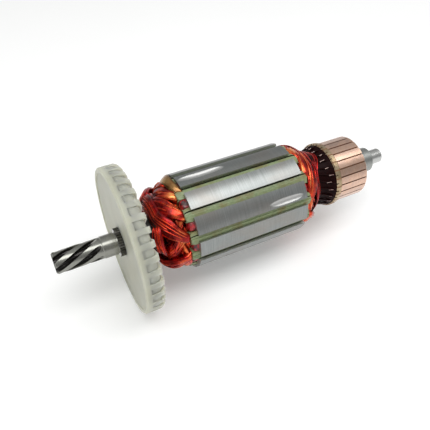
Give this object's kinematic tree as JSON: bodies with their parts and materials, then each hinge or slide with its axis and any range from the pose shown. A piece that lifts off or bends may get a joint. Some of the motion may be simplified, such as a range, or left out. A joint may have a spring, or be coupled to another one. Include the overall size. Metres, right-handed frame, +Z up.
{
  "type": "motor armature",
  "caption": "Wound armature of a universal motor: slotted laminated core with insulated coils, commutator, radial-vane fan and a shaft with a helical pinion and two bearing seats.",
  "frame": {"origin": "on the shaft axis, at the middle of the drive-end bearing seat", "axes": "+X along the shaft from the pinion to the commutator, +Z up, +Y completes the right-handed frame"},
  "size_m": [0.1362, 0.0528, 0.0528],
  "materials": {
    "shaft_steel": "ground",
    "collar_steel": "turned",
    "core_steel": "turned laminations",
    "fan_nylon": "natural moulded nylon",
    "phenolic": "moulded",
    "end_insulator_red": "varnished",
    "liner_green": "insulating paper",
    "coil_enamel": "enamelled copper wire under varnish",
    "commutator_copper": "turned copper",
    "mica": "undercut"
  },
  "bodies": {
    "root": {"shaft": "shaft_steel", "fan": "fan_nylon", "shaft_sleeve": "phenolic", "lamination_core": "core_steel", "front_end_insulator": "end_insulator_red", "rear_end_insulator": "end_insulator_red", "slot_liners": "liner_green", "slot_wedges": "liner_green", "coil_leads": "coil_enamel", "commutator_hub": "phenolic", "commutator_bush": "shaft_steel", "mica_separators": "mica", "spacer_collar": "collar_steel", "coil_01": "coil_enamel", "coil_02": "coil_enamel", "coil_03": "coil_enamel", "coil_04": "coil_enamel", "coil_05": "coil_enamel", "coil_06": "coil_enamel", "coil_07": "coil_enamel", "coil_08": "coil_enamel", "coil_09": "coil_enamel", "coil_10": "coil_enamel", "coil_11": "coil_enamel", "coil_12": "coil_enamel", "commutator_bar_01": "commutator_copper", "commutator_bar_02": "commutator_copper", "commutator_bar_03": "commutator_copper", "commutator_bar_04": "commutator_copper", "commutator_bar_05": "commutator_copper", "commutator_bar_06": "commutator_copper", "commutator_bar_07": "commutator_copper", "commutator_bar_08": "commutator_copper", "commutator_bar_09": "commutator_copper", "commutator_bar_10": "commutator_copper", "commutator_bar_11": "commutator_copper", "commutator_bar_12": "commutator_copper", "commutator_bar_13": "commutator_copper", "commutator_bar_14": "commutator_copper", "commutator_bar_15": "commutator_copper", "commutator_bar_16": "commutator_copper", "commutator_bar_17": "commutator_copper", "commutator_bar_18": "commutator_copper", "commutator_bar_19": "commutator_copper", "commutator_bar_20": "commutator_copper", "commutator_bar_21": "commutator_copper", "commutator_bar_22": "commutator_copper", "commutator_bar_23": "commutator_copper", "commutator_bar_24": "commutator_copper"}
  },
  "joints": []
}
